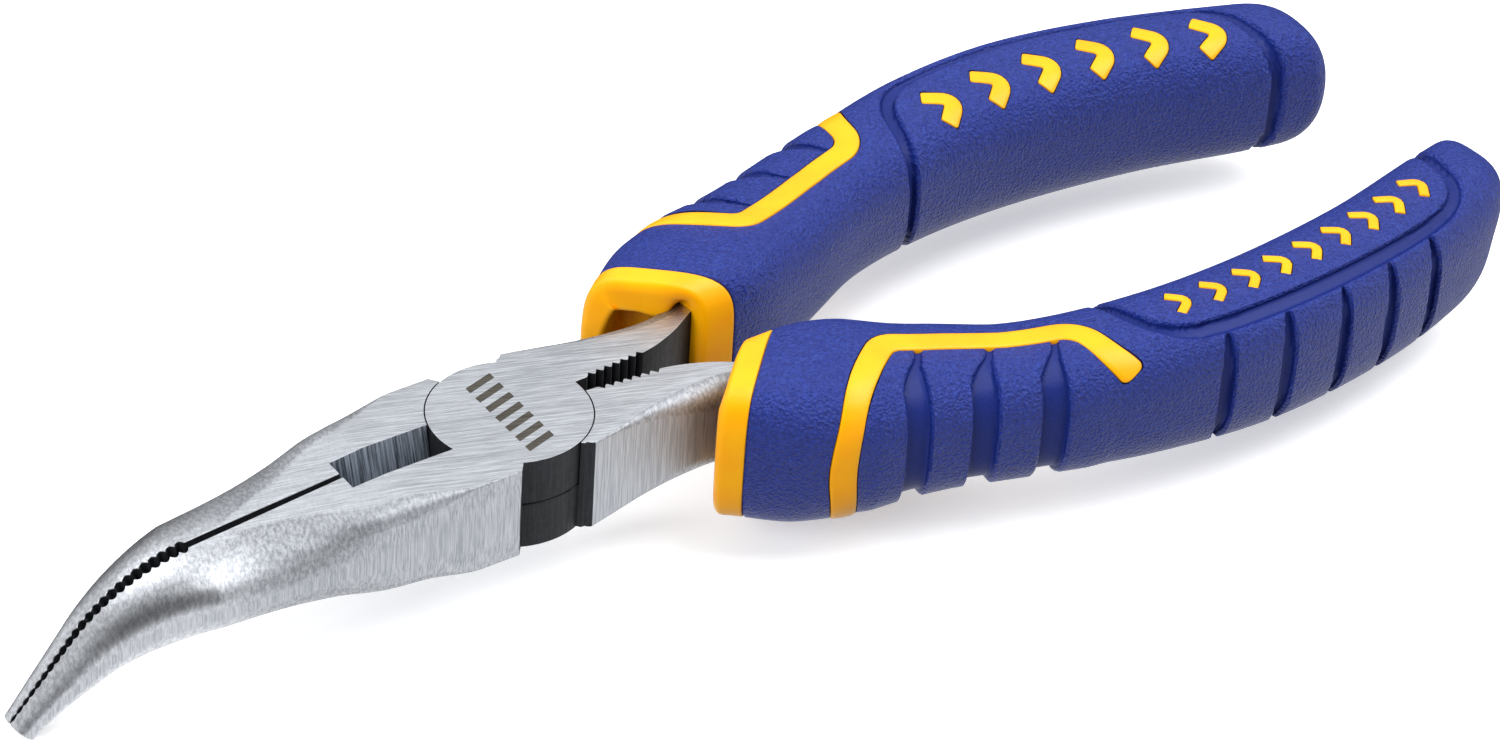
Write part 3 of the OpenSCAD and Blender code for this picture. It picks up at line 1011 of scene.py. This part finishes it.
def blue_rubber():
    """Deep blue rubber with a fine leather grain, and smooth floors in the channels that are painted
    darker as shade.
    """
    shade = new_shader("blue_rubber")
    slick_and_shaded = shade.node("Attribute", attribute_name="slick_and_shaded").outputs["Fac"]
    cells = shade.node("TexVoronoi", feature="SMOOTH_F1")
    shade.link(shade.place((3.5, 3.5, 3.5)), cells.inputs["Vector"])
    cells.inputs["Scale"].default_value = 1
    grain = shade.noise(shade.place((2.4, 2.4, 2.4)), 4, 0.65)
    height = shade.mix(0.5, cells.outputs["Distance"], grain)
    soft = shade.noise(shade.place((0.5, 0.5, 0.5)), 2, 0.5)
    rough_amount = shade.ramp(slick_and_shaded, 0.3, 0.8, 1.0, 0.08)
    level = shade.math("MULTIPLY", height, rough_amount)
    tone = shade.mix_colour(shade.ramp(grain, 0.3, 0.75), colour(21, 36, 112), colour(38, 60, 149))
    tone = shade.mix_colour(shade.ramp(soft, 0.3, 0.7, 0.0, 0.3), tone, colour(26, 43, 124))
    # Painted shade: the smooth floors of the channels and the inside of the cover are darkened.
    tone = shade.mix_colour(shade.ramp(slick_and_shaded, 0.3, 0.8, 0.0, 0.8), tone, colour(25, 39, 106))
    shade.set(Base_Color=tone, Normal=shade.bump(level, 0.5))
    shade.set(Roughness=shade.ramp(slick_and_shaded, 0.3, 0.8, 0.4, 0.46))
    shade.set(Specular_IOR_Level=shade.ramp(slick_and_shaded, 0.3, 0.8, 0.3, 0.16))
    return shade.block


def yellow_plastic():
    """Satin yellow plastic, with light going a little way into it."""
    shade = new_shader("yellow_plastic")
    fine = shade.noise(shade.place((3, 3, 3)), 3, 0.6)
    soft = shade.noise(shade.place((0.25, 0.25, 0.25)), 2, 0.5)
    tone = shade.mix_colour(shade.ramp(soft, 0.3, 0.7), colour(255, 170, 0), colour(255, 179, 0))
    shade.set(Base_Color=tone, Roughness=shade.ramp(fine, 0.3, 0.7, 0.36, 0.46))
    shade.set(Normal=shade.bump(fine, 0.012), Subsurface_Weight=0.12, Subsurface_Scale=1.0 * MM)
    shade.set(Specular_IOR_Level=0.32)
    shade.surface.inputs["Subsurface Radius"].default_value = (1.0, 0.45, 0.08)
    return shade.block


def plain(name, tone, roughness, glow):
    """An even surface that gives off a little light of its own, so that shadows on it stay faint."""
    shade = new_shader(name)
    shade.set(Base_Color=tone, Roughness=roughness, Emission_Color=(1, 1, 1, 1), Emission_Strength=glow)
    return shade.block


# ---- Pieces -----------------------------------------------------------------------------

oxide = shaded_steel("oxide_steel", colour(17, 18, 20), colour(46, 48, 53),
                     metallic=0.2, contrast=0.3, pitted=0.3, strokes=(4.5, 4.5, 0.2))
# The recess over the cutting edges is ground steel with upright lines, painted much darker than
# ground_steel as painted shade in the pocket.
recess = shaded_steel("recess_steel_shaded", colour(52, 58, 66), colour(168, 178, 192),
                      metallic=0.6, contrast=0.17, pitted=0.06, strokes=(4, 0.1, 0.1))
steel = [ground_steel(), oxide, etched_steel(), recess]
rubber = [blue_rubber()]
yellow = [yellow_plastic()]

lower = forging(False)
finish_piece(lower, "lower_half_forging", "lower", steel, ["lower_half"])
upper = mirrored(forging(True))
rivet = lathe("rivet", rivet_profile(0))
for part in (upper, rivet):
    boolean(part, joined(etched_marks()), "DIFFERENCE")
finish_piece(upper, "upper_half_forging", "upper", steel, ["upper_half"])
finish_piece(rivet, "flush_rivet", "upper", steel, ["pivot_rivet"])

for side, body, marks, mark_w, panel_turn in (("right", "upper", right_marks, right_mark_w, 5),
                                              ("left", "lower", left_marks, left_mark_w, 0)):
    shell = cover(panel_turn)
    mark_end = 0.3 * mark_w
    boolean(shell, ribbon("bed", stripe_path, stripe_half, stripe_end, stripe_gap), "DIFFERENCE")
    beds = [ribbon("bed", corners, mark_w, mark_end, mark_gap) for corners in marks]
    boolean(shell, joined(beds), "DIFFERENCE")
    inlays = joined([ribbon("marks", corners, mark_w, mark_end) for corners in marks])
    parts = [shell, sleeve(), ribbon("stripe", stripe_path, stripe_half, stripe_end), inlays]
    if side == "left":
        parts = [mirrored(part) for part in parts]
    shell, core, stripe, inlays = parts
    finish_piece(shell, side + "_cover", body, rubber, [side + "_grip"], 50)
    finish_piece(core, side + "_sleeve_core", body, yellow, [side + "_sleeve"], 50)
    finish_piece(stripe, side + "_stripe", body, yellow, [], 60)
    finish_piece(inlays, side + "_marks", body, yellow, [], 60)

# ---- Floor, light and camera ------------------------------------------------------------

# The camera: its direction from the object, its roll, and the pivot's place in its own axes, in mm
camera_azimuth = math.radians(-37.0)
camera_elevation = math.radians(36.3)
camera_roll = math.radians(3.93)
pivot_in_camera = Vector((-23.634, -7.992, -488.99))
lens_mm = 120.114


def direction(azimuth, elevation):
    """The direction from the object to something seen at an azimuth and elevation."""
    across = math.cos(elevation)
    return Vector((math.sin(azimuth) * across, -math.cos(azimuth) * across, math.sin(elevation)))


towards_camera = direction(camera_azimuth, camera_elevation)

# The floor is in metres, and it lights nothing and shows in no reflection
floor = new_object("floor", [(-3, -3, 0), (3, -3, 0), (3, 3, 0), (-3, 3, 0)], [(0, 1, 2, 3)], slots=0)
floor.location.z = floor_z
floor.data.materials.append(plain("pale_floor", colour(246, 246, 247), 0.9, 0.34))
floor.visible_diffuse = False
floor.visible_glossy = False


def studio():
    """A white studio that is dim below the horizon and dark round the camera.

    Below the horizon, reflections see a bright side towards the camera and a dark side behind
    the object, and all other light sees an even dim grey.
    """
    shade = Shader(bpy.data.worlds.new("studio"), "Background")
    place = shade.node("TexCoord").outputs["Generated"]

    def along(axis):
        made = shade.node("VectorMath", operation="DOT_PRODUCT")
        made.inputs[1].default_value = axis
        shade.link(place, made.inputs[0])
        return made.outputs["Value"]

    wide, narrow = math.cos(math.radians(48)), math.cos(math.radians(20))
    away = shade.ramp(along(towards_camera), wide, narrow, 1, 0.09)
    level_axis = Vector((towards_camera.x, towards_camera.y, 0)).normalized()
    in_mirror = shade.ramp(along(level_axis), -0.85, -0.45, 0.08, 1.5)
    mirrored_ray = shade.node("LightPath").outputs["Is Glossy Ray"]
    below = shade.mix(mirrored_ray, 0.16, in_mirror)
    above = shade.mix(shade.ramp(along((0, 0, 1)), 0, 0.42), below, 0.84)
    shade.set(Color=(1, 1, 1, 1), Strength=shade.mix(away, 0.0, above))
    return shade.block


bpy.context.scene.world = studio()
bpy.context.scene.view_settings.view_transform = "Standard"


def softbox(name, azimuth, elevation, distance, size, power):
    """A square area light that looks at the middle of the object."""
    light = bpy.data.lights.new(name, "AREA")
    light.shape = "SQUARE"
    light.size = size
    light.energy = power
    lamp = bpy.data.objects.new(name, light)
    bpy.context.scene.collection.objects.link(lamp)
    back = direction(math.radians(azimuth), math.radians(elevation))
    lamp.location = (cad_low + cad_high) / 2 + back * distance
    lamp.rotation_mode = "QUATERNION"
    lamp.rotation_quaternion = (-back).to_track_quat("-Z", "Y")
    return lamp


softbox("key", 62, 62, 0.9, 0.7, 7)
softbox("back", 200, 55, 1.0, 0.6, 3)
fill = softbox("fill", -70, 30, 1.0, 0.6, 7.5)
fill.visible_glossy = False

level = Vector((0, 0, 1)).cross(towards_camera).normalized()
upward = towards_camera.cross(level)
right_axis = math.cos(camera_roll) * level + math.sin(camera_roll) * upward
up_axis = math.cos(camera_roll) * upward - math.sin(camera_roll) * level
turn = Matrix((right_axis, up_axis, towards_camera)).transposed()
camera_data = bpy.data.cameras.new("camera")
camera_data.sensor_width = 36
camera_data.lens = lens_mm
camera_data.clip_start = 0.01
camera_data.clip_end = 20
camera = bpy.data.objects.new("camera", camera_data)
bpy.context.scene.collection.objects.link(camera)
camera_place = (Vector((0, 0, mid_z)) - turn @ pivot_in_camera) * MM
camera.matrix_world = Matrix.Translation(camera_place) @ turn.to_4x4()
bpy.context.scene.camera = camera
